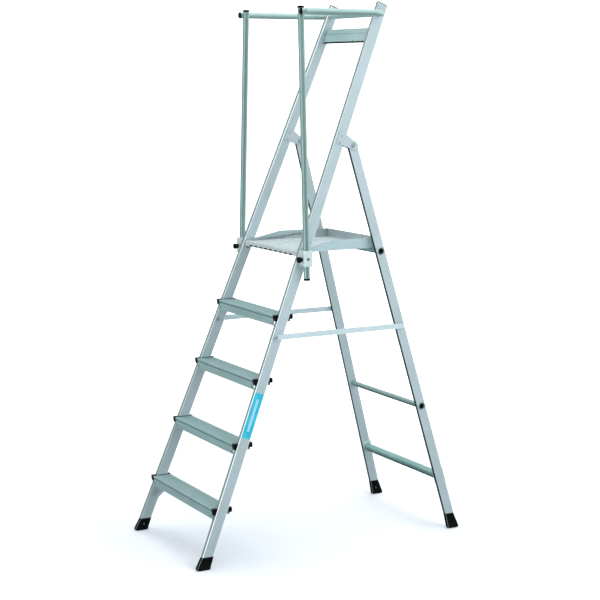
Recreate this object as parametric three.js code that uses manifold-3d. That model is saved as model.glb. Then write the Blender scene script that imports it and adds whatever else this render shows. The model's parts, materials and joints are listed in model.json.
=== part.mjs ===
// Aluminium platform step ladder: four treads, a folding platform, a rear support frame
// and a guard rail. Millimetres, +Z up, the climbing side faces -Y, the right side is +X.
// The origin is on the floor, in the middle of the four feet.
import * as THREE from 'three';
import { mergeVertices } from 'three/addons/utils/BufferGeometryUtils.js';
import Module from 'manifold-3d';

const wasm = await Module();
wasm.setup();

// ---------------------------------------------------------------- driving dimensions
const SIDES = { left: -1, right: 1 };
const degrees = THREE.MathUtils.degToRad;
const GAP = 0.3; // clearance between pieces that touch
const standingMiddle = 597.5; // from the stiles' front faces at floor level to the middle of the feet

// front frame
const stile = { lean: degrees(21.74), taper: degrees(3.08), halfWidth: 308.3, width: 18.4, depth: 43.8,
  wall: 1.6, shoeTop: 50, top: 2315, plug: 3.5 };
const tread = { count: 4, first: 227, rise: 240, nose: 17, depth: 77, apron: 41, web: 5.1, recess: 2.5,
  flange: 30, lip: 8, sheet: 2.6, rounding: 3.5, crease: 8 };
const stay = { root: 131, tab: 17, thickness: 3, width: 20.5, depth: 24 };
const cap = { plate: 1.5, lip: 1.5, strip: 8, block: 22, rearBlock: 16.5, overhang: 1 };
const backRail = { from: 2161, to: 2217, front: 20, depth: 18, groove: 22, grooveDepth: 1.5 };

// rear frame
const leg = { lean: degrees(15.57), taper: degrees(3.08), halfWidth: 307.2, width: 16.3, depth: 38.4,
  wall: 1.6, heel: 1191.1, shoeTop: 64, overHinge: 20 };
const shoe = { ankle: 9, flare: 1.8, corner: 2, cornerHeight: 3, sole: 6.5, spigot: 44 };
const upperBrace = { height: 527, radius: 11 };
const trumpet = { wall: 1.6, lip: 3.2, reach: 3.8, rim: 1.2, neck: 2.6, flare: 2.2, throat: 7 };
const lowerBrace = { height: 227, radius: 16.5, wall: 1.6, endGap: 4.4 };
const bracket = { half: 29, sheet: 2.4, stub: 20 };

// platform and its pivots
const platform = { height: tread.first + tread.count * tread.rise, pivotHeight: 1166, front: 477, rear: 862,
  halfWidth: 224.5, narrowing: 0.05, sheet: 3, upstand: 34.5, ribHeight: 6, nose: 20, ear: 12 };
const pivotPin = { radius: 5, headRadius: 8, headDepth: 3, outerReach: 9, innerReach: 6.5 };
const restTube = { height: 1169.3, radius: 11 };

// guard rail
const guard = { height: 2103, tube: 12.5, wall: 1.5, armX: 256, armFront: 475.6, bend: 58, hingeDepth: 16,
  postTopX: 228.2, postFootX: 273.6, postTop: 2119, postBottom: 1083 };
const clampBlock = { half: 20, below: 33, above: 28, inner: 2.5, outer: 43, knobDrop: 6 };
const knob = { lobes: 6, radius: 11, wave: 1.2, depth: 11, neckRadius: 8.5, neck: 8, screw: 3 };
const plug = { depth: 14, rim: 0.3 };

// folding hinge of the rear frame, and the tie bars
const hinge = { along: 1748.6, depth: 83.1, plate: 3, pinRadius: 5, headRadius: 9.5, headDepth: 3 };
const tie = { along: 937.5, depth: 13.2, height: 21, thickness: 4, standOff: 2.2, rear: 945, boltRadius: 4,
  headRadius: 7.5, headDepth: 3 };

// ---------------------------------------------------------------- materials
const materials = {
  stile: new THREE.MeshStandardMaterial({ color: 0xbfcdd4, roughness: 0.32, metalness: 0.85 }),
  tube: new THREE.MeshStandardMaterial({ color: 0xc7d0d2, roughness: 0.22, metalness: 0.9 }),
  tread: new THREE.MeshStandardMaterial({ color: 0x95b0ad, roughness: 0.45, metalness: 0.75 }),
  sheet: new THREE.MeshStandardMaterial({ color: 0xb9cbd2, roughness: 0.38, metalness: 0.8 }),
  steel: new THREE.MeshStandardMaterial({ color: 0x9aa4a6, roughness: 0.35, metalness: 0.9 }),
  plastic: new THREE.MeshStandardMaterial({ color: 0x0b0e0d, roughness: 0.55, metalness: 0.0 }),
};

const ladder = new THREE.Group();

function addMesh(parent, name, geometry, material) {
  const mesh = new THREE.Mesh(geometry, material.clone());
  mesh.name = name;
  parent.add(mesh);
  return mesh;
}

// ---------------------------------------------------------------- solid helpers
function toSolid(geometry) {
  const bare = geometry.clone();
  bare.deleteAttribute('normal');
  bare.deleteAttribute('uv');
  const merged = mergeVertices(bare, 1e-4);
  const triVerts = new Uint32Array(merged.index.array);
  const vertProperties = new Float32Array(merged.attributes.position.array);
  return new wasm.Manifold(new wasm.Mesh({ numProp: 3, vertProperties, triVerts }));
}

function toGeometry(solid) {
  const mesh = solid.getMesh();
  const geometry = new THREE.BufferGeometry();
  geometry.setAttribute('position', new THREE.BufferAttribute(new Float32Array(mesh.vertProperties), 3));
  geometry.setIndex(new THREE.BufferAttribute(new Uint32Array(mesh.triVerts), 1));
  geometry.computeVertexNormals();
  return geometry;
}

function join(geometry, ...others) {
  return toGeometry(others.reduce((solid, other) => solid.add(toSolid(other)), toSolid(geometry)));
}

function cut(geometry, ...tools) {
  return toGeometry(tools.reduce((solid, tool) => solid.subtract(toSolid(tool)), toSolid(geometry)));
}

// a box given by its lowest and highest corner
function boxBetween(low, high) {
  const size = high.map((value, i) => value - low[i]);
  const box = new THREE.BoxGeometry(...size);
  box.translate(...low.map((value, i) => value + size[i] / 2));
  return box;
}

// a cylinder, or a cone frustum, between two points
function rod(from, to, radius, endRadius = radius, segments = 16) {
  const a = new THREE.Vector3(...from);
  const b = new THREE.Vector3(...to);
  const geometry = new THREE.CylinderGeometry(endRadius, radius, a.distanceTo(b), segments);
  const direction = b.clone().sub(a).normalize();
  geometry.applyQuaternion(new THREE.Quaternion().setFromUnitVectors(new THREE.Vector3(0, 1, 0), direction));
  geometry.translate(...a.add(b).multiplyScalar(0.5).toArray());
  return geometry;
}

// a solid turned about the line from `start` along `direction`; profile is [radius, distance] pairs
function turned(start, direction, profile, segments = 16) {
  const points = profile.map(([radius, distance]) => new THREE.Vector2(radius, distance));
  const geometry = new THREE.LatheGeometry(points, segments);
  const axis = new THREE.Vector3(...direction).normalize();
  geometry.applyQuaternion(new THREE.Quaternion().setFromUnitVectors(new THREE.Vector3(0, 1, 0), axis));
  geometry.translate(...start);
  return geometry;
}

// an outline in Y and Z extruded along X between two planes
function sidePlate(outline, fromX, toX) {
  const shape = outline instanceof THREE.Shape ? outline
    : new THREE.Shape(outline.map(([y, z]) => new THREE.Vector2(y, z)));
  const depth = Math.abs(toX - fromX);
  const geometry = new THREE.ExtrudeGeometry(shape, { depth, bevelEnabled: false, curveSegments: 8 });
  geometry.applyMatrix4(new THREE.Matrix4().makeBasis(
    new THREE.Vector3(0, 1, 0), new THREE.Vector3(0, 0, 1), new THREE.Vector3(1, 0, 0)));
  geometry.translate(Math.min(fromX, toX), 0, 0);
  return geometry;
}

// moves every vertex by a function of its own position
function warp(geometry, shift) {
  const position = geometry.attributes.position;
  const point = new THREE.Vector3();
  for (let i = 0; i < position.count; i += 1) {
    point.fromBufferAttribute(position, i);
    shift(point);
    position.setXYZ(i, point.x, point.y, point.z);
  }
  geometry.computeVertexNormals();
  return geometry;
}

// a rivet along X: head outside, shank, head inside; positions are distances from the middle plane
function rivet(side, point, outer, inner, radius, headRadius, headDepth) {
  return turned([side * inner, point[0], point[1]], [side, 0, 0], [
    [0, -headDepth],
    [headRadius, -headDepth],
    [headRadius, 0],
    [radius, 0],
    [radius, outer - inner],
    [headRadius, outer - inner],
    [headRadius * 0.7, outer - inner + headDepth],
    [0, outer - inner + headDepth],
  ]);
}

// ---------------------------------------------------------------- places on the two frames
const slopeFront = Math.tan(stile.lean) / Math.cos(stile.taper);
const slopeRear = Math.tan(leg.lean) / Math.cos(leg.taper);
const spread = Math.tan(stile.taper);
const legSpread = Math.tan(leg.taper);

const stileOuter = (z) => stile.halfWidth - spread * z;
const stileInner = (z) => stileOuter(z) - stile.width / Math.cos(stile.taper);
const stileFront = (z) => slopeFront * z;
const stilePoint = (along, depth) => [
  along * Math.sin(stile.lean) + depth * Math.cos(stile.lean),
  (along * Math.cos(stile.lean) - depth * Math.sin(stile.lean)) * Math.cos(stile.taper),
];
const legOuter = (z) => leg.halfWidth - legSpread * z;
const legInner = (z) => legOuter(z) - leg.width / Math.cos(leg.taper);
const legMiddle = (z) => leg.heel - slopeRear * z - leg.depth / 2 / Math.cos(leg.lean);

// the middle of the stile's depth at a height above the floor
const stileMiddle = (z, depth = stile.depth / 2) => stileFront(z) + depth / Math.cos(stile.lean);

const pivot = [stileMiddle(platform.pivotHeight), platform.pivotHeight];
const hingePoint = stilePoint(hinge.along, hinge.depth);
const guardHinge = [stileMiddle(guard.height, guard.hingeDepth), guard.height];

// Groups that lie along each stile and each leg. In a stile group +Z runs up the stile, Y is
// the depth behind its front face, and X = 0 is its outer face. In a leg group -Y is forward
// from the leg's rear face.
function frameGroup(side, place, lean, taper) {
  const group = new THREE.Group();
  group.position.set(...place);
  group.rotation.set(lean, -side * taper, 0, 'YXZ');
  group.updateMatrixWorld(true);
  ladder.add(group);
  return group;
}

// brings a cutting tool made in the ladder's frame into a turned group
function intoGroup(group, geometry) {
  return geometry.applyMatrix4(group.matrixWorld.clone().invert());
}

// a hollow rail lying along its group, from below its shoe's top; offset moves it in Y
function boxTube(side, rail, to, offset = 0) {
  const { width, depth, wall, shoeTop } = rail;
  const walls = (inset, from, end) => {
    const xs = [-side * inset, -side * (width - inset)].sort((a, b) => a - b);
    return boxBetween([xs[0], offset + inset, from], [xs[1], offset + depth - inset, end]);
  };
  return cut(walls(0, shoeTop, to), walls(wall, shoeTop - 1, to + 1));
}

// everything below the top of a shoe: the rails are cut level there
const belowShoe = (rail) => boxBetween([-400, -100, -100], [400, 1300, rail.shoeTop]);

const acrossX = ([y, z], radius, segments = 16) => rod([-400, y, z], [400, y, z], radius, radius, segments);

// ---------------------------------------------------------------- front frame
function frontStile(name, side, group) {
  const tieHole = stilePoint(tie.along, tie.depth);
  const bores = [
    [pivot, hinge.pinRadius + GAP],
    [guardHinge, guard.tube + 0.6],
    [tieHole, tie.boltRadius + GAP],
  ];
  let geometry = cut(boxTube(side, stile, stile.top), intoGroup(group, belowShoe(stile)));
  for (const [point, radius] of bores) {
    geometry = cut(geometry, intoGroup(group, acrossX(point, radius, 24)));
  }
  addMesh(group, `front_stile_${name}`, geometry, materials.stile);
}

// a block inside a hollow rail, clear of its walls
function spigot(side, rail, from, to) {
  const inset = rail.wall + GAP;
  const xs = [-side * inset, -side * (rail.width - inset)].sort((a, b) => a - b);
  return boxBetween([xs[0], inset, from], [xs[1], rail.depth - inset, to]);
}

function stilePlug(name, side, group) {
  const xs = [0, -side * stile.width].sort((a, b) => a - b);
  const top = boxBetween([xs[0], 0, stile.top + GAP], [xs[1], stile.depth, stile.top + stile.plug]);
  const geometry = join(top, spigot(side, stile, stile.top - plug.depth, stile.top + 1));
  addMesh(group, `stile_plug_${name}`, geometry, materials.plastic);
}

// the shoe's outline continues the rail to a sole with rounded ends; it widens a little on the way
function footGeometry(side, corners, sole, outerAt, rail) {
  const { ankle, flare, corner, cornerHeight } = shoe;
  const [front, rear] = corners;
  const outline = [
    front,
    [sole.front, ankle],
    [sole.front + corner, cornerHeight],
    [sole.front + shoe.sole, 0],
    [sole.rear - shoe.sole, 0],
    [sole.rear - corner, cornerHeight],
    [sole.rear, ankle],
    rear,
  ];
  return warp(sidePlate(outline, -0.5, 0.5), (point) => {
    const wider = point.z < ankle ? flare : 0;
    const isOuter = point.x * side > 0;
    const outer = outerAt(point.z) + wider;
    const inner = outerAt(point.z) - rail.width - wider;
    point.x = side * (isOuter ? outer : inner);
  });
}

function frontFoot(name, side, group) {
  const top = stile.shoeTop - GAP;
  const corners = [[stileFront(top), top], [stileFront(top) + stile.depth / Math.cos(stile.lean), top]];
  const sole = { front: -2.5, rear: 53.5 };
  const body = footGeometry(side, corners, sole, stileOuter, stile);
  const tongue = spigot(side, stile, stile.shoeTop - plug.depth, stile.shoeTop + shoe.spigot);
  const geometry = join(body, tongue.applyMatrix4(group.matrixWorld));
  addMesh(ladder, `front_foot_${name}`, geometry, materials.plastic);
}

// the tread's section: top plate, rounded nose, front apron and rear flange, open underneath
function treadOutline(top) {
  const { rounding, crease, web, recess, flange, lip, sheet, apron } = tread;
  const front = stileFront(top) - tread.nose;
  const rear = front + tread.depth;
  const bottom = top - apron;
  const hem = front + web + 2 * lip;
  return [
    [front + rounding, top],
    [rear, top],
    [rear, top - flange],
    [rear - lip, top - flange],
    [rear - lip, top - flange + sheet],
    [rear - sheet, top - flange + sheet],
    [rear - sheet, top - sheet],
    [front + web, top - sheet],
    [front + web, bottom + sheet],
    [hem, bottom + sheet],
    [hem, bottom],
    [front + recess, bottom],
    [front + recess, top - crease - recess],
    [front, top - crease],
    [front, top - rounding],
    [front + rounding * (1 - Math.SQRT1_2), top - rounding * (1 - Math.SQRT1_2)],
  ];
}

function treadPiece(number) {
  const top = tread.first + (number - 1) * tread.rise;
  const geometry = sidePlate(treadOutline(top), -1, 1);
  warp(geometry, (point) => {
    point.x *= stileInner(point.z) - cap.plate - 2 * GAP;
  });
  addMesh(ladder, `tread_${number}`, geometry, materials.tread);
}

// the end cap: a strip between tread and stile, with a block in front of the stile and one behind
function treadCap(number, name, side) {
  const { overhang, strip, block, rearBlock } = cap;
  const top = tread.first + (number - 1) * tread.rise;
  const front = stileFront(top) - tread.nose - overhang;
  const rear = front + tread.depth + 2 * overhang;
  const crown = top + cap.lip;
  const clearance = 2 * GAP; // the stile's faces are turned a little by its taper
  const frontFace = (z) => stileFront(z) - clearance;
  const rearFace = (z) => stileFront(z) + stile.depth / Math.cos(stile.lean) + clearance;
  const plate = [
    [front, crown],
    [rear, crown],
    [rear, top - strip],
    [front, top - strip],
  ];
  const frontOutline = [
    [front, crown],
    [frontFace(crown), crown],
    [frontFace(top - block), top - block],
    [front + tread.recess, top - block],
    [front, top - strip],
  ];
  const rearOutline = [
    [rear, crown],
    [rear, top - rearBlock],
    [rearFace(top - rearBlock), top - rearBlock],
    [rearFace(crown), crown],
  ];
  const place = (outline, from, to) => warp(sidePlate(outline, -0.5, 0.5), (point) => {
    const inward = point.x * side > 0 ? from : to;
    point.x = side * (stileInner(point.z) - inward);
  });
  const overStile = 1 - stile.width;
  const geometry = join(
    place(plate, GAP, GAP + cap.plate),
    place(frontOutline, overStile, GAP + cap.plate),
    place(rearOutline, overStile, GAP + cap.plate));
  addMesh(ladder, `tread_cap_${number}_${name}`, geometry, materials.plastic);
}

// bent flat stay under each end of the lowest tread: one tab stands on the stile's inner face, the
// other lies under the tread's top plate; an outline point is [distance inwards from the stile, z]
function treadStay(name, side) {
  const { root, tab, thickness, width, depth } = stay;
  const under = tread.first - tread.sheet - GAP;
  const slant = thickness * Math.SQRT2;
  const run = under - thickness - root;
  const shape = new THREE.Shape([
    [0, root + tab],
    [0, root],
    [run, under - thickness],
    [run + tab, under - thickness],
    [run + tab, under],
    [under - slant - root, under],
    [thickness, root + thickness + slant],
    [thickness, root + tab],
  ].map(([inwards, z]) => new THREE.Vector2(inwards, z)));
  const geometry = new THREE.ExtrudeGeometry(shape, { depth: width, bevelEnabled: false });
  geometry.applyMatrix4(new THREE.Matrix4().makeBasis(
    new THREE.Vector3(-side, 0, 0), new THREE.Vector3(0, 0, 1), new THREE.Vector3(0, side, 0)));
  if (side < 0) geometry.translate(0, width, 0);
  warp(geometry, (point) => {
    point.x += side * (stileInner(point.z) - GAP);
    point.y += stileFront(point.z) + depth;
  });
  addMesh(ladder, `tread_stay_${name}`, geometry, materials.stile);
}

// the rail between the tops of the stiles, with a groove along its front face
function backRailPiece() {
  const { from, to, front, depth, groove, grooveDepth } = backRail;
  const corners = [
    [front, from],
    [front + depth, from],
    [front + depth, to],
    [front, to],
    [front, to - groove + grooveDepth],
    [front + grooveDepth, to - groove],
    [front, to - groove - grooveDepth],
  ];
  const section = corners.map(([back, along]) => stilePoint(along, back));
  const geometry = warp(sidePlate(section, -1, 1), (point) => {
    point.x *= stileInner(point.z) - GAP;
  });
  addMesh(ladder, 'back_rail', geometry, materials.sheet);
}

function gussetOutline() {
  const { along, depth } = hinge;
  return [
    [9, along - 19.5],
    [depth - 12, along - 15.5],
    [depth + 18, along - 15.5],
    [depth + 25.5, along - 5],
    [depth + 21.5, along + 13.5],
    [depth - 12, along + 21],
    [stile.depth, along + 30],
    [9, along + 30],
  ];
}

// the plates on both faces of the stile that carry the rear frame's hinge pin
function gusset(name, side, group, face) {
  const outer = face === 'outer';
  const from = outer ? side * GAP : -side * (stile.width + GAP);
  const to = from + (outer ? side : -side) * hinge.plate;
  const plate = sidePlate(gussetOutline(), from, to);
  const bore = intoGroup(group, acrossX(hingePoint, hinge.pinRadius + GAP));
  addMesh(group, `hinge_gusset_${face}_${name}`, cut(plate, bore), materials.stile);
}

function hingePin(name, side) {
  const z = hingePoint[1];
  const outer = stileOuter(z) + hinge.plate + 4 * GAP;
  const inner = stileInner(z) - hinge.plate - 4 * GAP;
  const geometry = rivet(side, hingePoint, outer, inner, hinge.pinRadius, hinge.headRadius, hinge.headDepth);
  addMesh(ladder, `hinge_pin_${name}`, geometry, materials.steel);
}

// the pin through clamp, stile and platform side
function platformPivot(name, side) {
  const { radius, headRadius, headDepth } = pivotPin;
  const outer = stileOuter(pivot[1]) + pivotPin.outerReach;
  const inner = stileInner(pivot[1]) - pivotPin.innerReach;
  const geometry = turned([side * inner, pivot[0], pivot[1]], [side, 0, 0], [
    [0, -headDepth],
    [headRadius, -headDepth],
    [headRadius, 0],
    [radius, 0],
    [radius, outer - inner],
    [0, outer - inner],
  ]);
  addMesh(ladder, `platform_pivot_${name}`, geometry, materials.steel);
}

// ---------------------------------------------------------------- rear frame
const legRear = (z) => leg.heel - slopeRear * z;
const legTop = (hingePoint[1] + leg.overHinge) / Math.cos(leg.lean);

function rearLeg(name, side, group) {
  const bores = [
    [hingePoint, hinge.pinRadius + GAP],
    [[legMiddle(restTube.height), restTube.height], restTube.radius + GAP],
    [[legMiddle(upperBrace.height), upperBrace.height], upperBrace.radius + GAP],
  ];
  let geometry = cut(boxTube(side, leg, legTop, -leg.depth), intoGroup(group, belowShoe(leg)));
  for (const [point, radius] of bores) {
    geometry = cut(geometry, intoGroup(group, acrossX(point, radius)));
  }
  addMesh(group, `rear_leg_${name}`, geometry, materials.stile);
}

function rearFoot(name, side, group) {
  const top = leg.shoeTop - GAP;
  const corners = [[legRear(top) - leg.depth / Math.cos(leg.lean), top], [legRear(top), top]];
  const sole = { front: 1145, rear: 1197.5 };
  const body = footGeometry(side, corners, sole, legOuter, leg);
  const tongue = spigot(side, leg, leg.shoeTop - plug.depth, leg.shoeTop + shoe.spigot);
  tongue.translate(0, -leg.depth, 0);
  const geometry = join(body, tongue.applyMatrix4(group.matrixWorld));
  addMesh(ladder, `rear_foot_${name}`, geometry, materials.plastic);
}

// a round tube across both legs, opened out like a trumpet where it leaves them
function flaredTube(name, height, radius) {
  const { wall, lip, reach, rim, neck, flare, throat } = trumpet;
  const end = legOuter(height) + reach;
  const bore = radius - wall;
  const length = 2 * end;
  const geometry = turned([-end, legMiddle(height), height], [1, 0, 0], [
    [bore + flare, 0],
    [radius + lip, 0],
    [radius + lip, rim],
    [radius, neck],
    [radius, length - neck],
    [radius + lip, length - rim],
    [radius + lip, length],
    [bore + flare, length],
    [bore, length - throat],
    [bore, throat],
    [bore + flare, 0],
  ], 20);
  addMesh(ladder, name, geometry, materials.tube);
}

function lowerBracePiece() {
  const { radius, height, wall, endGap } = lowerBrace;
  const y = legMiddle(height);
  const end = legInner(height) - endGap;
  const bore = radius - wall;
  const geometry = turned([-end, y, height], [1, 0, 0],
    [[bore, 0], [radius, 0], [radius, 2 * end], [bore, 2 * end], [bore, 0]], 20);
  addMesh(ladder, 'lower_brace', geometry, materials.tube);
}

const legPointAlong = (height) => (height + (leg.depth / 2) * Math.sin(leg.lean)) / Math.cos(leg.lean);

function boxFromTo(a, b) {
  const low = a.map((value, i) => Math.min(value, b[i]));
  const high = a.map((value, i) => Math.max(value, b[i]));
  return boxBetween(low, high);
}

// folded bracket around the leg's rear face, with a collar that holds the end of the lower brace
function braceBracket(name, side, group) {
  const { half, sheet, stub } = bracket;
  const { height } = lowerBrace;
  const middle = legPointAlong(height);
  const [low, high] = [middle - half, middle + half];
  const inside = -side * (leg.width + GAP);
  const corner = [inside - side * sheet, GAP + sheet, high];
  const face = boxFromTo([inside, -leg.depth, low], corner);
  const back = boxFromTo([-side, GAP, low], corner);
  const end = legInner(height);
  const y = legMiddle(height);
  const radius = lowerBrace.radius - lowerBrace.wall - 2 * GAP;
  const [stubFrom, stubTo] = [end - stub, end - sheet / 2].map((x) => [side * x, y, height]);
  const collar = rod(stubFrom, stubTo, radius, radius, 20);
  const geometry = join(face, back, intoGroup(group, collar));
  addMesh(group, `brace_bracket_${name}`, geometry, materials.steel);
}

// ---------------------------------------------------------------- platform
const platformHalf = (y) => platform.halfWidth - platform.narrowing * (y - pivot[0]);

// the deck: a sheet bent down over the nose and up into a toe board at the rear
function platformDeck() {
  const { front, rear, height, ribHeight, sheet, upstand, nose } = platform;
  const outline = [
    [front + sheet, height],
    [rear - sheet, height],
    [rear - sheet, height + upstand],
    [rear, height + upstand],
    [rear, height - ribHeight],
    [front + 70, height - ribHeight],
    [front + 66, height - sheet],
    [front + sheet, height - sheet],
    [front + sheet, height - nose],
    [front, height - nose],
    [front, height - sheet],
  ];
  const geometry = warp(sidePlate(outline, -1, 1), (point) => {
    point.x *= platformHalf(point.y) - platform.sheet - GAP;
  });
  addMesh(ladder, 'platform_deck', geometry, materials.sheet);
}

// the side plate: an ear round the pivot, then an upstand that rises to its full height
function platformSide(name, side) {
  const { front, rear, height, ribHeight, upstand, ear } = platform;
  const shape = new THREE.Shape();
  shape.moveTo(front + 29, height - ribHeight);
  shape.lineTo(rear, height - ribHeight);
  shape.lineTo(rear, height + upstand);
  shape.lineTo(front + 160, height + upstand);
  shape.lineTo(front + 50, height + 11);
  shape.lineTo(front, height + 4);
  shape.lineTo(pivot[0] - ear, pivot[1]);
  shape.absarc(pivot[0], pivot[1], ear, Math.PI, 2 * Math.PI, false);
  const plate = sidePlate(shape, -0.5, 0.5);
  warp(plate, (point) => {
    const inset = point.x * side > 0 ? 0 : platform.sheet;
    point.x = side * (platformHalf(point.y) - inset);
  });
  const geometry = cut(plate, acrossX(pivot, hinge.pinRadius + GAP));
  addMesh(ladder, `platform_side_${name}`, geometry, materials.sheet);
}

// ---------------------------------------------------------------- guard rail
const postAxis = (side, z) => {
  const share = (z - platform.pivotHeight) / (guard.height - platform.pivotHeight);
  return [side * (guard.postFootX + share * (guard.postTopX - guard.postFootX)), pivot[0], z];
};

// the clamp on the stile's outer face, with a bore that the post slides in
function clamp(name, side) {
  const { half, below, above, inner, outer, knobDrop } = clampBlock;
  const z = platform.pivotHeight;
  const box = boxBetween([-0.5, pivot[0] - half, z - below], [0.5, pivot[0] + half, z + above]);
  const block = warp(box, (point) => {
    point.x = side * (stileOuter(point.z) + (point.x * side > 0 ? outer : inner));
  });
  const boreRadius = guard.tube + 2.5 * GAP;
  const bore = rod(postAxis(side, z - 2 * below), postAxis(side, z + 2 * above), boreRadius, boreRadius, 24);
  const pinStart = [side * stileOuter(z), ...pivot];
  const pinEnd = [side * (stileOuter(z) + pivotPin.outerReach + 5 * GAP), ...pivot];
  const pinHole = rod(pinStart, pinEnd, pivotPin.radius + 3 * GAP);
  const knobLevel = z - knobDrop;
  const knobFrom = [side * guard.postFootX, pivot[0] - half - 1, knobLevel];
  const knobTo = [side * guard.postFootX, pivot[0], knobLevel];
  const knobHole = rod(knobFrom, knobTo, knob.screw + 0.5);
  addMesh(ladder, `post_clamp_${name}`, cut(block, bore, pinHole, knobHole), materials.steel);
}

// the star knob whose screw presses on the post
function starKnob(name, side) {
  const { lobes, radius, wave, depth, neckRadius, neck, screw } = knob;
  const place = [side * guard.postFootX, pivot[0], platform.pivotHeight - clampBlock.knobDrop];
  const face = -clampBlock.half - GAP;
  const shape = new THREE.Shape();
  for (let i = 0; i < lobes * 4; i += 1) {
    const angle = (i / (lobes * 4)) * 2 * Math.PI;
    const reach = radius + wave * Math.cos(lobes * angle);
    const point = [reach * Math.cos(angle), reach * Math.sin(angle)];
    if (i === 0) shape.moveTo(...point);
    else shape.lineTo(...point);
  }
  shape.closePath();
  const head = new THREE.ExtrudeGeometry(shape, { depth, bevelEnabled: false });
  head.rotateX(Math.PI / 2);
  head.translate(0, face - neck, 0);
  const collar = rod([0, face - neck - 1, 0], [0, face, 0], neckRadius);
  const thread = rod([0, face - 1, 0], [0, -guard.tube - 0.4, 0], screw);
  const mesh = addMesh(ladder, `star_knob_${name}`, join(head, collar, thread), materials.plastic);
  mesh.position.set(...place);
}

// a tube between two heights on the post's line
function postTube(name, side) {
  const { tube, wall, postTop, postBottom } = guard;
  const inner = tube - wall;
  const outer = rod(postAxis(side, postBottom), postAxis(side, postTop), tube, tube, 20);
  const bore = rod(postAxis(side, postBottom - 1), postAxis(side, postTop + 1), inner, inner, 20);
  addMesh(ladder, `guard_post_${name}`, cut(outer, bore), materials.tube);
}

function postCap(label, side, end, away) {
  const start = postAxis(side, end);
  const further = postAxis(side, end + away);
  const direction = further.map((value, i) => value - start[i]);
  const bore = guard.tube - guard.wall - GAP;
  const geometry = turned(start, direction, [
    [0, -plug.depth],
    [bore, -plug.depth],
    [bore, GAP],
    [guard.tube + plug.rim, GAP],
    [guard.tube + plug.rim, 3],
    [guard.tube - 1.5, 4.5],
    [0, 4.5],
  ], 20);
  addMesh(ladder, label, geometry, materials.plastic);
}

// a quarter circle in the level plane, from the arm's direction to the cross part's
class QuarterBend extends THREE.Curve {
  constructor(centre, radius, side) {
    super();
    this.centre = centre;
    this.radius = radius;
    this.side = side;
  }

  getPoint(t, target = new THREE.Vector3()) {
    const angle = (t * Math.PI) / 2;
    return target.set(this.side * this.radius * Math.cos(angle), this.radius * Math.sin(angle), 0)
      .add(this.centre);
  }
}

// one bent tube: an arm outside each post, a bend, and the cross part that turns in both stiles
function bowBar(radius, overrun) {
  const { armX, armFront, bend, height } = guard;
  const rear = guardHinge[0];
  const turn = armX - bend;
  const lap = 0.4; // how far the straight parts run into the bends
  const pieces = [rod([-turn - lap, rear, height], [turn + lap, rear, height], radius)];
  for (const side of Object.values(SIDES)) {
    const at = (x, y) => new THREE.Vector3(side * x, y, height);
    const quarter = new QuarterBend(at(turn, rear - bend), bend, side);
    const section = new THREE.Shape();
    section.absarc(0, 0, radius, 0, 2 * Math.PI, false);
    pieces.push(new THREE.ExtrudeGeometry(section,
      { steps: 9, extrudePath: quarter, curveSegments: 8, bevelEnabled: false }));
    const armEnds = [armFront - overrun, rear - bend + lap].map((y) => [side * armX, y, height]);
    pieces.push(rod(...armEnds, radius));
  }
  return join(...pieces);
}

function guardBow() {
  const geometry = cut(bowBar(guard.tube, 0), bowBar(guard.tube - guard.wall, 5));
  addMesh(ladder, 'guard_bow', geometry, materials.tube);
}

function bowCap(name, side) {
  const bore = guard.tube - guard.wall - 2 * GAP;
  const geometry = turned([side * guard.armX, guard.armFront, guard.height], [0, -1, 0], [
    [0, -plug.depth],
    [bore, -plug.depth],
    [bore, GAP],
    [guard.tube + plug.rim, GAP],
    [guard.tube + plug.rim, 2.2],
    [guard.tube - 2, 4],
    [0, 4],
  ], 20);
  addMesh(ladder, `bow_cap_${name}`, geometry, materials.plastic);
}

// the bolt head on the arm, where the arm is held to the top of the post
function bowBolt(name, side) {
  const start = [side * (guard.armX + guard.tube + 0.4), pivot[0], guard.height];
  const geometry = turned(start, [side, 0, 0], [
    [0, 0],
    [6.5, 0],
    [6.5, 1.4],
    [4.8, 1.6],
    [4.8, 4.2],
    [0, 4.8],
  ], 12);
  addMesh(ladder, `bow_bolt_${name}`, geometry, materials.steel);
}

// ---------------------------------------------------------------- tie bars
const tiePoint = stilePoint(tie.along, tie.depth);

function tieBar(name, side) {
  const half = tie.height / 2;
  const [y, z] = tiePoint;
  const shape = new THREE.Shape();
  shape.moveTo(y, z - half);
  shape.lineTo(tie.rear, z - half);
  shape.lineTo(tie.rear, z + half);
  shape.lineTo(y, z + half);
  shape.absarc(y, z, half, Math.PI / 2, 1.5 * Math.PI, false);
  const plate = warp(sidePlate(shape, -0.5, 0.5), (point) => {
    const out = point.x * side > 0 ? tie.standOff + tie.thickness : tie.standOff;
    point.x = side * (stileOuter(point.z) + out);
  });
  const geometry = cut(plate, acrossX(tiePoint, tie.boltRadius + GAP));
  addMesh(ladder, `tie_bar_${name}`, geometry, materials.stile);
}

function tieBolt(name, side) {
  const z = tiePoint[1];
  const outer = stileOuter(z) + tie.standOff + tie.thickness + 3 * GAP;
  const inner = stileInner(z) - 2 * GAP;
  const geometry = rivet(side, tiePoint, outer, inner, tie.boltRadius, tie.headRadius, tie.headDepth);
  addMesh(ladder, `tie_bolt_${name}`, geometry, materials.steel);
}

// ---------------------------------------------------------------- assembly
for (let number = 1; number <= tread.count; number += 1) treadPiece(number);
backRailPiece();
flaredTube('platform_rest_tube', restTube.height, restTube.radius);
flaredTube('upper_brace', upperBrace.height, upperBrace.radius);
lowerBracePiece();
platformDeck();
guardBow();

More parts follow.
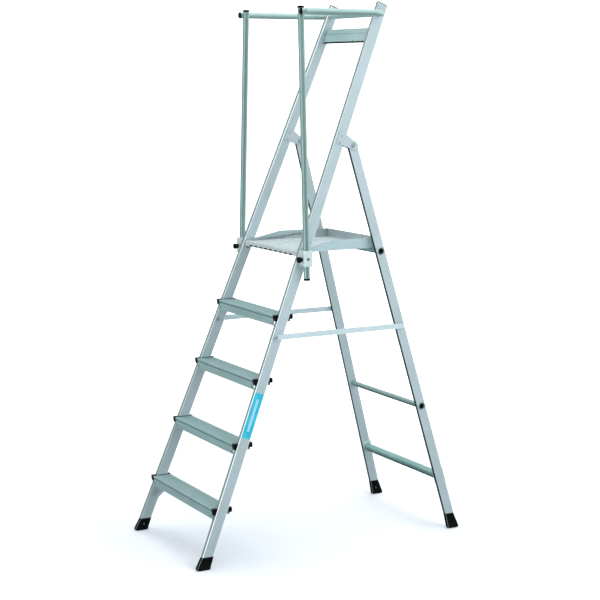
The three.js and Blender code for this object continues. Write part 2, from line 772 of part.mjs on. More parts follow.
for (const [name, side] of Object.entries(SIDES)) {
  const stileGroup = frameGroup(side, [side * stile.halfWidth, 0, 0], -stile.lean, stile.taper);
  const legGroup = frameGroup(side, [side * leg.halfWidth, leg.heel, 0], leg.lean, leg.taper);
  frontStile(name, side, stileGroup);
  stilePlug(name, side, stileGroup);
  frontFoot(name, side, stileGroup);
  for (let number = 1; number <= tread.count; number += 1) treadCap(number, name, side);
  treadStay(name, side);
  gusset(name, side, stileGroup, 'outer');
  gusset(name, side, stileGroup, 'inner');
  hingePin(name, side);
  platformPivot(name, side);
  rearLeg(name, side, legGroup);
  rearFoot(name, side, legGroup);
  braceBracket(name, side, legGroup);
  platformSide(name, side);
  clamp(name, side);
  starKnob(name, side);
  postTube(name, side);
  postCap(`post_top_cap_${name}`, side, guard.postTop, 10);
  postCap(`post_bottom_cap_${name}`, side, guard.postBottom, -10);
  bowCap(name, side);
  bowBolt(name, side);
  tieBar(name, side);
  tieBolt(name, side);
}

// the floor point in the middle of the four soles becomes the origin
const model = new THREE.Group();
ladder.position.y = -standingMiddle;
model.add(ladder);
model.updateMatrixWorld(true);

export default model;
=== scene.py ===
"""Looks of a platform step ladder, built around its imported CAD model. Metres, +Z up.

Rails, plates and blocks are the CAD solids with their edges rounded. Treads, deck, tubes, caps,
knobs and fasteners are made here, at the places that the CAD nodes and joints give.
"""
import json
import math

import bmesh
import bpy
from mathutils import Matrix, Vector


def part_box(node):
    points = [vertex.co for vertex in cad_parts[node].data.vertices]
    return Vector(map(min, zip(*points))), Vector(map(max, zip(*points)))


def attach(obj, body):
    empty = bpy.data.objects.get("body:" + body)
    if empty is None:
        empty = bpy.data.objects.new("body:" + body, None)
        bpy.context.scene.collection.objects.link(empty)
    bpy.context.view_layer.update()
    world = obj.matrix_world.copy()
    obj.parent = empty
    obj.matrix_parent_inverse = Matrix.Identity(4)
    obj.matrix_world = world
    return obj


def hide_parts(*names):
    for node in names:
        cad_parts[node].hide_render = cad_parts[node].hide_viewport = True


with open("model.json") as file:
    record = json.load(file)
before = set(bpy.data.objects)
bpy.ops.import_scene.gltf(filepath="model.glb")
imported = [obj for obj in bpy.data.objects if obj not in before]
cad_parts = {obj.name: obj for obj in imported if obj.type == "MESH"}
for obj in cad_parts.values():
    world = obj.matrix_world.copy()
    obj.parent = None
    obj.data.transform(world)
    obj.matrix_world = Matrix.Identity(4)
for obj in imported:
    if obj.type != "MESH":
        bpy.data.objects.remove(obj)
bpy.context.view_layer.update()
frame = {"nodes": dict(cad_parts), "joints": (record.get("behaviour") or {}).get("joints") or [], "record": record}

SIDES = {"left": -1, "right": 1}
BODY_OF = {node: body for body, nodes in frame["record"]["behaviour"]["bodies"].items() for node in nodes}
SLOT_OF = {part["node"]: part["material_slot"] for part in frame["record"]["subparts"]}
JOINTS = {joint["name"]: joint for joint in frame["joints"]}

# ------------------------------------------------------------------ driving dimensions
STANDING = 0.5975  # from the stiles' front faces at floor level to the middle of the feet
STILE = {"lean": math.radians(-21.74), "half": 0.3083, "front": 0.0, "width": 0.0184, "depth": 0.0438,
         "corner": 0.0026}
LEG = {"lean": math.radians(15.57), "half": 0.3072, "front": 1.1911, "width": 0.0163, "depth": 0.0384,
       "corner": 0.0012}
TAPER = math.radians(3.08)
TREAD_SHEET = 0.0026
DECK_SHEET = 0.003
TUBE_WALL = 0.0015
BEND_RADIUS = 0.058
SHARP = math.radians(38)


def rail_space(rail, side):
    """Rail coordinates: X from the outer face, Y from the reference face, Z along the rail."""
    place = Matrix.Translation((side * rail["half"], rail["front"] - STANDING, 0))
    return place @ Matrix.Rotation(-side * TAPER, 4, "Y") @ Matrix.Rotation(rail["lean"], 4, "X")


def rail_direction(rail, side):
    return (rail_space(rail, side).to_3x3() @ Vector((0, 0, 1))).normalized()


# ------------------------------------------------------------------ node materials
def new_material(name):
    material = bpy.data.materials.new(name)
    material.use_nodes = True
    nodes = material.node_tree.nodes
    return material, nodes, material.node_tree.links, nodes["Principled BSDF"]


def noise(nodes, links, vector, scale, detail=2.0, roughness=0.5):
    node = nodes.new("ShaderNodeTexNoise")
    node.inputs["Scale"].default_value = scale
    node.inputs["Detail"].default_value = detail
    node.inputs["Roughness"].default_value = roughness
    links.new(vector, node.inputs["Vector"])
    return node.outputs["Fac"]


def remap(nodes, links, value, low, high, start=0.0, end=1.0):
    node = nodes.new("ShaderNodeMapRange")
    node.inputs["From Min"].default_value = start
    node.inputs["From Max"].default_value = end
    node.inputs["To Min"].default_value = low
    node.inputs["To Max"].default_value = high
    links.new(value, node.inputs["Value"])
    return node.outputs["Result"]


def blend_colours(nodes, links, factor, first, second):
    node = nodes.new("ShaderNodeMix")
    node.data_type = "RGBA"
    links.new(factor, node.inputs["Factor"])
    for socket, colour in ((node.inputs["A"], first), (node.inputs["B"], second)):
        if isinstance(colour, tuple):
            socket.default_value = (*colour, 1.0)
        else:
            links.new(colour, socket)
    return node.outputs["Result"]


def bump(nodes, links, height, strength, distance, under=None):
    node = nodes.new("ShaderNodeBump")
    node.inputs["Strength"].default_value = strength
    node.inputs["Distance"].default_value = distance
    links.new(height, node.inputs["Height"])
    if under is not None:
        links.new(under, node.inputs["Normal"])
    return node.outputs["Normal"]


def drawn_coordinates(nodes, links, along, squeeze):
    """Object coordinates squeezed along one direction, so that noise turns into drawn lines."""
    place = nodes.new("ShaderNodeTexCoord").outputs["Object"]
    along = Vector(along).normalized()
    across = along.cross(Vector((0, 1, 0)) if abs(along.y) < 0.8 else Vector((1, 0, 0))).normalized()
    join = nodes.new("ShaderNodeCombineXYZ")
    for axis, direction in zip("XYZ", (across, along.cross(across), along * squeeze)):
        dot = nodes.new("ShaderNodeVectorMath")
        dot.operation = "DOT_PRODUCT"
        dot.inputs[1].default_value = direction
        links.new(place, dot.inputs[0])
        links.new(dot.outputs["Value"], join.inputs[axis])
    return join.outputs["Vector"], place


def tint(colour, factor):
    return tuple(min(1.0, channel * factor) for channel in colour)


def drawn_metal(name, colour, along, roughness=0.34, metallic=0.75, line=0.25, shade=0.06, stain=None):
    """Extruded or drawn aluminium: fine lines along it, a slight colour drift and soft stains."""
    material, nodes, links, shader = new_material(name)
    lines, place = drawn_coordinates(nodes, links, along, 0.012)
    fine = noise(nodes, links, lines, 1400, 3.0, 0.6)
    broad = noise(nodes, links, lines, 260, 2.0)
    smudge = noise(nodes, links, place, 9, 2.0)
    drift = blend_colours(nodes, links, remap(nodes, links, broad, 0.0, 1.0, 0.3, 0.7),
                          tint(colour, 1 - shade), tint(colour, 1 + shade))
    stained = blend_colours(nodes, links, remap(nodes, links, smudge, 0.0, 0.8, 0.42, 0.66),
                            drift, stain or tint(colour, 0.9))
    links.new(stained, shader.inputs["Base Color"])
    links.new(remap(nodes, links, smudge, roughness * 0.9, roughness * 1.2, 0.35, 0.7),
              shader.inputs["Roughness"])
    shader.inputs["Metallic"].default_value = metallic
    normal = bump(nodes, links, fine, line, 0.00025)
    links.new(bump(nodes, links, broad, line * 0.5, 0.0006, normal), shader.inputs["Normal"])
    return material


def plated_steel(name, colour):
    """Zinc-plated steel with a cloudy colour and gloss."""
    material, nodes, links, shader = new_material(name)
    place = nodes.new("ShaderNodeTexCoord").outputs["Object"]
    cloud = noise(nodes, links, place, 180, 4.0, 0.65)
    grain = noise(nodes, links, place, 1500, 2.0)
    links.new(blend_colours(nodes, links, remap(nodes, links, cloud, 0, 1, 0.3, 0.7),
                            tint(colour, 0.82), tint(colour, 1.1)), shader.inputs["Base Color"])
    links.new(remap(nodes, links, cloud, 0.22, 0.42, 0.3, 0.7), shader.inputs["Roughness"])
    links.new(bump(nodes, links, grain, 0.15, 0.0002), shader.inputs["Normal"])
    shader.inputs["Metallic"].default_value = 0.5
    return material


def moulded(name, colour, worn, roughness, grain_scale, dust=0.0):
    """Black plastic or rubber with a fine moulded grain, paler scuffs, and dust towards the floor."""
    material, nodes, links, shader = new_material(name)
    place = nodes.new("ShaderNodeTexCoord").outputs["Object"]
    grain = noise(nodes, links, place, grain_scale, 2.0)
    scuff = noise(nodes, links, place, 70, 5.0, 0.7)
    base = blend_colours(nodes, links, remap(nodes, links, scuff, 0, 1, 0.55, 0.8), colour, worn)
    if dust:
        split = nodes.new("ShaderNodeSeparateXYZ")
        links.new(place, split.inputs["Vector"])
        low = remap(nodes, links, split.outputs["Z"], dust, 0.0, 0.0, 0.03)
        base = blend_colours(nodes, links, low, base, tint(worn, 3.0))
    links.new(base, shader.inputs["Base Color"])
    links.new(remap(nodes, links, scuff, roughness - 0.08, roughness + 0.12, 0.3, 0.75),
              shader.inputs["Roughness"])
    links.new(bump(nodes, links, grain, 0.3, 0.0003), shader.inputs["Normal"])
    shader.inputs["Specular IOR Level"].default_value = 0.12
    return material


def label_material():
    """A printed blue foil with paler clouds and a slight gloss."""
    material, nodes, links, shader = new_material("label_foil")
    place = nodes.new("ShaderNodeTexCoord").outputs["Object"]
    cloud = noise(nodes, links, place, 24, 2.0)
    weave = noise(nodes, links, place, 900, 2.0)
    links.new(blend_colours(nodes, links, remap(nodes, links, cloud, 0, 1, 0.35, 0.7),
                            (0.010, 0.26, 0.38), (0.025, 0.36, 0.43)), shader.inputs["Base Color"])
    links.new(remap(nodes, links, weave, 0.3, 0.42), shader.inputs["Roughness"])
    links.new(bump(nodes, links, weave, 0.08, 0.0002), shader.inputs["Normal"])
    return material


def paper_material():
    """The label's blank pale field."""
    material, nodes, links, shader = new_material("label_print")
    place = nodes.new("ShaderNodeTexCoord").outputs["Object"]
    weave = noise(nodes, links, place, 500, 3.0)
    links.new(blend_colours(nodes, links, weave, (0.15, 0.37, 0.45), (0.22, 0.44, 0.51)),
              shader.inputs["Base Color"])
    links.new(remap(nodes, links, weave, 0.35, 0.5), shader.inputs["Roughness"])
    return material


GLOW_FROM = 1.3  # distance from the ladder where the floor starts to glow
GLOW_FULL = 3.2


def floor_material():
    """A matt white sweep that glows away from the object."""
    material, nodes, links, shader = new_material("studio_floor")
    place = nodes.new("ShaderNodeTexCoord").outputs["Object"]
    cloud = noise(nodes, links, place, 1.4, 2.0)
    links.new(blend_colours(nodes, links, cloud, (0.64, 0.67, 0.72), (0.67, 0.69, 0.73)),
              shader.inputs["Base Color"])
    shader.inputs["Roughness"].default_value = 0.7
    shader.inputs["Specular IOR Level"].default_value = 0.0
    shader.inputs["Emission Color"].default_value = (1.0, 1.0, 1.0, 1.0)
    reach = nodes.new("ShaderNodeVectorMath")
    reach.operation = "LENGTH"
    links.new(place, reach.inputs[0])
    glow = remap(nodes, links, reach.outputs["Value"], 0.0, 1.0, GLOW_FROM, GLOW_FULL)
    links.new(glow, shader.inputs["Emission Strength"])
    material.cycles.emission_sampling = "NONE"
    return material


def wall_material():
    """Plain white light, which no other surface samples."""
    material, nodes, links, shader = new_material("studio_wall")
    shader.inputs["Base Color"].default_value = (0.0, 0.0, 0.0, 1.0)
    shader.inputs["Specular IOR Level"].default_value = 0.0
    shader.inputs["Emission Color"].default_value = (1.0, 1.0, 1.0, 1.0)
    shader.inputs["Emission Strength"].default_value = 1.0
    material.cycles.emission_sampling = "NONE"
    return material


RAIL = (0.43, 0.53, 0.55)
RAIL_STAIN = (0.45, 0.53, 0.58)
# painted shade: the next two colours darken the narrow front faces of the stiles and legs, standing in for the
# shade that falls on them
RAIL_FRONT_PAINTED_SHADE = (0.22, 0.29, 0.28)
LEG_FRONT_PAINTED_SHADE = (0.02, 0.04, 0.04)
# painted highlight: a near-white colour for the stiles' rounded front edges, standing in for the light they catch
RAIL_EDGE_PAINTED_HIGHLIGHT = (0.95, 1.0, 1.0)
TREAD = (0.225, 0.36, 0.35)
DECK = (0.51, 0.59, 0.60)
SHEET = (0.28, 0.37, 0.38)
TUBE = (0.56, 0.79, 0.75)
STEEL = (0.30, 0.35, 0.37)
BLACK = (0.0016, 0.0022, 0.0018)
X_AXIS = Vector((1, 0, 0))
Y_AXIS = Vector((0, 1, 0))

MATERIALS = {
    "tread": drawn_metal("tread_metal", TREAD, X_AXIS, 0.42, 0.2, 0.3, 0.12, (0.28, 0.40, 0.41)),
    # painted shade: a dark colour for the groove under each tread's nose
    "crease": drawn_metal("tread_crease_painted_shade", (0.07, 0.13, 0.125), X_AXIS, 0.6, 0.2, 0.2, 0.08),
    "deck": drawn_metal("deck_sheet", DECK, X_AXIS, 0.3, 0.35, 0.06, 0.03),
    "side": drawn_metal("side_sheet", SHEET, Y_AXIS, 0.42, 0.15, 0.06, 0.03, (0.25, 0.34, 0.36)),
    "rail_x": drawn_metal("cross_tube", (0.40, 0.58, 0.56), X_AXIS, 0.3, 0.92, 0.03, 0.05),
    "brace": drawn_metal("brace_tube", (0.38, 0.65, 0.61), X_AXIS, 0.32, 0.92, 0.03, 0.06),
    "bow": drawn_metal("bow_tube", TUBE, Y_AXIS, 0.36, 0.82, 0.0, 0.03),
    "back": drawn_metal("back_sheet", (0.38, 0.54, 0.54), X_AXIS, 0.3, 0.5, 0.05, 0.03),
    "bar": drawn_metal("bar_metal", RAIL, Y_AXIS, 0.4, 0.35, 0.2, 0.05, RAIL_STAIN),
    "stay": drawn_metal("stay_metal", RAIL, X_AXIS, 0.4, 0.35, 0.2, 0.05, RAIL_STAIN),
    "cast": drawn_metal("clamp_metal", (0.70, 0.82, 0.83), Vector((0, 0, 1)), 0.3, 0.6, 0.12, 0.04),
    "steel": plated_steel("zinc_steel", STEEL),
    "plastic": moulded("black_plastic", BLACK, (0.01, 0.012, 0.011), 0.42, 1300),
    "rubber": moulded("black_rubber", BLACK, (0.006, 0.008, 0.007), 0.5, 800, 0.1),
    # painted highlight: a paler grey for the feet's rounded edges
    "rubber_painted_highlight": moulded("black_rubber_edge", (0.10, 0.12, 0.12), (0.16, 0.18, 0.18), 0.5, 800),
    # painted shade: near-black for the tube bores, the deck's nose openings, the gaps round the pivot heads and
    # clamp bolts, and the back rail's underside
    "black_painted_shade": moulded("dark_bore_painted_shade", (0.002, 0.002, 0.002), (0.006, 0.006, 0.006), 0.8, 600),
    "label": label_material(),
    "print": paper_material(),
}
# each rail gets its skin, an edge material for its rounded edges (a painted highlight on the stiles, the plain
# rail colour on the legs) and painted shade on its narrow front faces
for side_name, side_sign in SIDES.items():
    for kind, rail, painted_shade, edge in (("stile", STILE, RAIL_FRONT_PAINTED_SHADE, RAIL_EDGE_PAINTED_HIGHLIGHT), ("leg", LEG, LEG_FRONT_PAINTED_SHADE, RAIL)):
        run = rail_direction(rail, side_sign)
        name = f"{kind}_{side_name}"
        MATERIALS[name] = drawn_metal(f"{name}_metal", RAIL, run, 0.38, 0.5, 0.18, 0.035, RAIL_STAIN)
        MATERIALS[f"{name}_edge"] = drawn_metal(f"{name}_edge_metal", edge, run, 0.3, 0.05, 0.1, 0.0)
        MATERIALS[f"{name}_band"] = drawn_metal(f"{name}_band_metal", painted_shade, run, 0.4, 0.3, 0.2, 0.05)


# ------------------------------------------------------------------ mesh helpers
def finish_mesh(bm, name, *materials):
    """Turns a bmesh into an object with smooth faces and sharp edges where the surface turns."""
    bmesh.ops.recalc_face_normals(bm, faces=bm.faces)
    for face in bm.faces:
        face.smooth = True
    for edge in bm.edges:
        if len(edge.link_faces) == 2 and edge.calc_face_angle(0.0) > SHARP:
            edge.smooth = False
    mesh = bpy.data.meshes.new(name)
    bm.to_mesh(mesh)
    bm.free()
    for material in materials:
        if material:
            mesh.materials.append(material)
    piece = bpy.data.objects.new(name, mesh)
    bpy.context.scene.collection.objects.link(piece)
    weighted = piece.modifiers.new("face_normals", "WEIGHTED_NORMAL")
    weighted.keep_sharp = True
    return piece


def place_piece(piece, body, slot, *nodes):
    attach(piece, body)
    if nodes:
        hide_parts(*nodes)
    return piece


def polished(node, material, wide=0.0, wide_from=0.2, fine=0.0003, edge=None, painted_shade=None, facing=None):
    """A copy of a CAD node: its long edges are rounded by `wide`, the others by `fine`.

    `edge` is the material of the wide roundings, a painted highlight where it is paler than the skin; the argument
    after it is the material of the faces that look along `facing`, a painted shade.
    """
    bm = bmesh.new()
    bm.from_mesh(frame["nodes"][node].data)
    bmesh.ops.remove_doubles(bm, verts=bm.verts, dist=2e-6)
    bmesh.ops.dissolve_limit(bm, angle_limit=math.radians(0.5), verts=bm.verts, edges=bm.edges)
    for width, skin, chosen in ((wide, 1 if edge else -1, lambda e: e.calc_length() > wide_from),
                                (fine, -1, lambda e: e.calc_length() > 4 * fine)):
        if not width:
            continue
        edges = [e for e in bm.edges if len(e.link_faces) == 2
                 and e.calc_face_angle_signed(0.0) > math.radians(50) and chosen(e)]
        bmesh.ops.bevel(bm, geom=edges, offset=width, offset_type="OFFSET", segments=3,
                        profile=0.5, affect="EDGES", clamp_overlap=True, material=skin)
    # painted shade: faces that look along `facing` take the darker material
    if painted_shade:
        bm.normal_update()
        for face in bm.faces:
            if face.normal.dot(facing) > 0.9:
                face.material_index = 2 if edge else 1
    piece = finish_mesh(bm, f"{node}_finish", material, edge, painted_shade)
    return place_piece(piece, BODY_OF[node], SLOT_OF[node], node)


def frame_along(direction):
    """A rotation whose Z axis is `direction`."""
    return Vector(direction).normalized().to_track_quat("Z", "Y").to_matrix().to_4x4()


def lathe(name, start, direction, profile, material, segments=48, lobes=0, lobe_depth=0.0):
    """A solid of revolution; profile is (radius, distance) pairs, and lobes wave its radius."""
    bm = bmesh.new()
    turn = Matrix.Translation(start) @ frame_along(direction)
    rings = []
    for radius, distance in profile:
        if radius <= 1e-7:
            rings.append([bm.verts.new(turn @ Vector((0, 0, distance)))])
            continue
        ring = []
        for i in range(segments):
            angle = 2 * math.pi * i / segments
            reach = radius + lobe_depth * math.cos(lobes * angle) if lobes else radius
            spot = Vector((reach * math.cos(angle), reach * math.sin(angle), distance))
            ring.append(bm.verts.new(turn @ spot))
        rings.append(ring)
    for lower, upper in zip(rings, rings[1:]):
        for i in range(segments):
            j = (i + 1) % segments
            corners = [lower[i % len(lower)], lower[j % len(lower)]]
            corners += [upper[j % len(upper)], upper[i % len(upper)]]
            corners = list(dict.fromkeys(corners))
            if len(corners) > 2:
                bm.faces.new(corners)
    bmesh.ops.remove_doubles(bm, verts=bm.verts, dist=1e-7)
    return finish_mesh(bm, name, material)


def rounded(radius, start, end, edge, steps=4):
    """Profile of a plain disc from `start` to `end` whose outer edge at `end` is rounded."""
    arc = [(radius - edge + edge * math.cos(a), end - edge + edge * math.sin(a))
           for a in (math.pi / 2 * k / steps for k in range(steps + 1))]
    return [(0, start), (radius, start), *arc, (0, end)]


def tube(name, points, radius, wall, material, segments=40):
    """A hollow tube along a path, closed by a ring at both ends."""
    points = [Vector(p) for p in points]
    bm = bmesh.new()
    tangents = []
    for i, point in enumerate(points):
        before = points[max(i - 1, 0)]
        after = points[min(i + 1, len(points) - 1)]
        tangents.append((after - before).normalized())
    normal = tangents[0].orthogonal().normalized()
    shells = ([], [])
    for point, tangent in zip(points, tangents):
        normal = (normal - tangent * normal.dot(tangent)).normalized()
        other = tangent.cross(normal)
        for shell, reach in zip(shells, (radius, radius - wall)):
            shell.append([bm.verts.new(point + reach * (math.cos(a) * normal + math.sin(a) * other))
                          for a in (2 * math.pi * k / segments for k in range(segments))])
    bands = list(zip(shells[0], shells[0][1:])) + [(b, a) for a, b in zip(shells[1], shells[1][1:])]
    bands += [(shells[1][0], shells[0][0]), (shells[0][-1], shells[1][-1])]
    for lower, upper in bands:
        for i in range(segments):
            j = (i + 1) % segments
            bm.faces.new([lower[i], lower[j], upper[j], upper[i]])
    return finish_mesh(bm, name, material)


def bar_of(name, outline, half_width, material):
    """A section in Y and Z run across X, to +-half_width(y, z) at both ends."""
    bm = bmesh.new()
    ends = [[bm.verts.new((side * half_width(y, z), y, z)) for y, z in outline] for side in (-1, 1)]
    count = len(outline)
    for i in range(count):
        j = (i + 1) % count
        bm.faces.new([ends[0][i], ends[0][j], ends[1][j], ends[1][i]])
    caps = [bm.faces.new(end) for end in ends]
    bmesh.ops.triangulate(bm, faces=caps)
    return finish_mesh(bm, name, material)


DOME_SINK = 0.0004  # how deep a dome's rim goes into the face below it


def dome(name, place, direction, radius, height, material, steps=4):
    """A rivet head: a low dome."""
    arc = [(radius * math.cos(a), height * math.sin(a))
           for a in (math.pi / 2 * k / steps for k in range(steps))]
    profile = [(0, -DOME_SINK), (radius, -DOME_SINK), *arc, (0, height)]
    return lathe(name, place, direction, profile, material, 24)


# ------------------------------------------------------------------ rails and their feet
def rails():
    """Both rails of each side, with painted shade on their narrow front faces and edges of their own, which on the
    stiles are a painted highlight.
    """
    for name, side in SIDES.items():
        for node, kind, rail in (("front_stile", "stile", STILE), ("rear_leg", "leg", LEG)):
            forward = -(rail_space(rail, side).to_3x3() @ Y_AXIS)
            skin, edge, painted_shade = (MATERIALS[f"{kind}_{name}{part}"] for part in ("", "_edge", "_band"))
            polished(f"{node}_{name}", skin, rail["corner"], 0.4, 0.0, edge, painted_shade, forward)
        polished(f"stile_plug_{name}", MATERIALS["plastic"], 0.0, 1.0, 0.0006)


def feet():
    """Rubber shoes with rounded edges, painted a paler grey as a highlight, and a rivet in the inner face."""
    for name, side in SIDES.items():
        for kind, rail in (("front", STILE), ("rear", LEG)):
            node = f"{kind}_foot_{name}"
            polished(node, MATERIALS["rubber"], 0.0018, 0.0445, 0.0008, MATERIALS["rubber_painted_highlight"])
            space = rail_space(rail, side)
            depth = rail["depth"] * (0.5 if kind == "front" else -0.5)
            spot = space @ Vector((-side * (rail["width"] + 0.0004), depth, 0.037))
            away = space.to_3x3() @ Vector((-side, 0, 0))
            rivet = dome(f"{kind}_foot_rivet_{name}", spot, away, 0.0026, 0.0010, MATERIALS["steel"])
            place_piece(rivet, BODY_OF[node], "steel")


# ------------------------------------------------------------------ treads
CREASE = (0.0078, 0.0118)  # where the groove under the nose starts and ends, below the top


def tread_section(front, rear, top, bottom):
    """Ribbed top, rounded nose with a crease below it, apron with a lip, and a rear flange."""
    t = TREAD_SHEET
    rib, pitch = 0.0009, 0.0056
    outline = [(front + 0.0006, top - 0.006), (front, top - 0.0045)]
    outline += [(front + 0.0035 - 0.0035 * math.cos(a), top - 0.0035 + 0.0035 * math.sin(a))
                for a in (math.pi / 2 * k / 4 for k in range(1, 5))]
    count = int((rear - front - 0.014) / pitch)
    for k in range(count):
        y = front + 0.0075 + k * pitch
        outline += [(y, top), (y + 0.0008, top - rib), (y + 0.0022, top - rib), (y + 0.003, top)]
    flange = top - 0.030
    outline += [(rear - 0.0008, top), (rear, top - 0.0008), (rear, flange), (rear - 0.008, flange),
                (rear - 0.008, flange + t), (rear - t, flange + t), (rear - t, top - 0.0034)]
    lip = front + 0.017
    outline += [(front + 0.0055, top - 0.0034), (front + 0.0051, bottom + t), (lip, bottom + t),
                (lip, bottom), (front + 0.0035, bottom), (front + 0.0027, bottom + 0.0008)]
    outline += [(front + 0.0025, top - CREASE[1]), (front + 0.0036, top - CREASE[1] + 0.0006),
                (front + 0.0036, top - CREASE[0] - 0.0006), (front + 0.0008, top - CREASE[0])]
    return outline


def treads():
    """Four treads with their end caps and screws, and the stays under the lowest one."""
    for number in range(1, 5):
        node = f"tread_{number}"
        low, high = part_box(node)
        mesh = frame["nodes"][node].data
        top_half = max(v.co.x for v in mesh.vertices if v.co.z > high.z - 0.001)
        slope = (high.x - top_half) / (high.z - low.z)
        section = tread_section(low.y, high.y, high.z, low.z)
        half = lambda y, z: top_half + slope * (high.z - z)
        piece = bar_of(f"{node}_profile", section, half, MATERIALS["tread"])
        # painted shade: the faces of the groove under the nose take the dark second material
        piece.data.materials.append(MATERIALS["crease"])
        for face in piece.data.polygons:
            below = high.z - face.center.z
            if CREASE[0] - 0.0001 < below < CREASE[1] + 0.0001 and face.center.y < low.y + 0.004:
                face.material_index = 1
        place_piece(piece, "front_frame", "tread", node)
        for name, side in SIDES.items():
            polished(f"tread_cap_{number}_{name}", MATERIALS["plastic"], 0.0, 1.0, 0.0013)
            spot = (side * (top_half - 0.011), low.y + 0.0026, high.z - 0.031)
            screw = dome(f"tread_screw_{number}_{name}", spot, -Y_AXIS, 0.0032, 0.0012, MATERIALS["plastic"])
            place_piece(screw, "front_frame", "plastic")
    for name in SIDES:
        polished(f"tread_stay_{name}", MATERIALS["stay"], 0.0, 1.0, 0.0004)


# ------------------------------------------------------------------ platform
BACK_RAIL_SCREWS = (2.1722, 2.203)  # along the stile


def deck_section(low, high, height):
    """The sheet bends down over the nose and up into the toe board, with rounded bends."""
    t = DECK_SHEET
    bend = 0.005

    def arc(cy, cz, radius, start, stop, steps=5):
        return [(cy + radius * math.cos(a), cz + radius * math.sin(a))
                for a in (math.radians(start + (stop - start) * k / steps) for k in range(steps + 1))]

    nose = height - 0.020
    outline = [(low.y, nose)]
    outline += arc(low.y + bend, height - bend, bend, 180, 90)
    outline += arc(high.y - t - bend, height + bend, bend, 270, 360)
    outline += [(high.y - t, high.z), (high.y, high.z)]
    outline += arc(high.y - t - bend, height + bend, bend + t, 0, -90)
    outline += arc(low.y + bend, height - bend, bend - t, 90, 180)
    outline += [(low.y + t, nose)]
    return outline


def add_stud(bm, place, length, width, height):
    """An oval anti-slip stud, longer across the deck."""
    rings = []
    for scale, rise in ((1.0, -0.0002), (0.86, 0.55), (0.55, 0.9)):
        z = rise * height if rise > 0 else rise
        oval = [(scale * length * math.cos(a), scale * width * math.sin(a))
                for a in (2 * math.pi * k / 14 for k in range(14))]
        rings.append([bm.verts.new(place + Vector((x, y, z))) for x, y in oval])
    for lower, upper in zip(rings, rings[1:]):
        for i in range(14):
            j = (i + 1) % 14
            bm.faces.new([lower[i], lower[j], upper[j], upper[i]])
    bm.faces.new(rings[-1])


def platform():
    """The bent deck with its studs and nose openings, the side plates and the back rail; the openings are
    near-black patches and the back rail's underside is near-black, both painted shade.
    """
    low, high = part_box("platform_deck")
    height = next(m["pos_m"][2] for m in frame["record"]["mounts"] if m["name"] == "platform_top")
    mesh = frame["nodes"]["platform_deck"].data
    front_half = max(v.co.x for v in mesh.vertices if v.co.y < low.y + 0.001)
    rear_half = max(v.co.x for v in mesh.vertices if v.co.y > high.y - 0.001)
    narrowing = (front_half - rear_half) / (high.y - low.y)
    half = lambda y, z: front_half - narrowing * (y - low.y)
    deck = bar_of("platform_deck_sheet", deck_section(low, high, height), half, MATERIALS["deck"])
    place_piece(deck, "platform", "sheet", "platform_deck")

    bm = bmesh.new()
    rows, pitch_y, pitch_x = 13, 0.0195, 0.046
    for row in range(rows):
        y = low.y + 0.014 + row * pitch_y
        shift = pitch_x / 2 * (row % 2)
        count = int((half(y, 0) - 0.014 - shift) / pitch_x)
        for k in range(-count - (row % 2), count + 1):
            add_stud(bm, Vector((k * pitch_x + shift, y, height)), 0.018, 0.0058, 0.0021)
    studs = finish_mesh(bm, "platform_studs", MATERIALS["deck"])
    place_piece(studs, "platform", "sheet")
    # painted shade: near-black blocks on the nose's face stand for the openings' shaded insides
    bm = bmesh.new()
    slots, pitch = 9, 0.042
    for k in range(-(slots // 2), slots // 2 + 1):
        place = Matrix.Translation((k * pitch, low.y + 0.0002, height - 0.0165))
        bmesh.ops.create_cube(bm, size=2.0, matrix=place @ Matrix.Diagonal((0.013, 0.0008, 0.0030, 1)))
    notches = finish_mesh(bm, "platform_nose_slots", MATERIALS["black_painted_shade"])
    place_piece(notches, "platform", "sheet")
    for name in SIDES:
        polished(f"platform_side_{name}", MATERIALS["side"], 0.0, 1.0, 0.0006)
    # painted shade: the back rail's faces that look down take the near-black material
    below = -rail_direction(STILE, 0)
    polished("back_rail", MATERIALS["back"], 0.002, 0.2, 0.0, None, MATERIALS["black_painted_shade"], below)
    for name, side in SIDES.items():
        for row, along in enumerate(BACK_RAIL_SCREWS):
            spot = rail_space(STILE, side) @ Vector((side * -0.006, STILE["depth"], along))
            away = rail_space(STILE, side).to_3x3() @ Vector((0, 1, 0))
            screw = dome(f"back_rail_screw_{row}_{name}", spot, away, 0.004, 0.0016, MATERIALS["plastic"])
            place_piece(screw, "front_frame", "plastic")


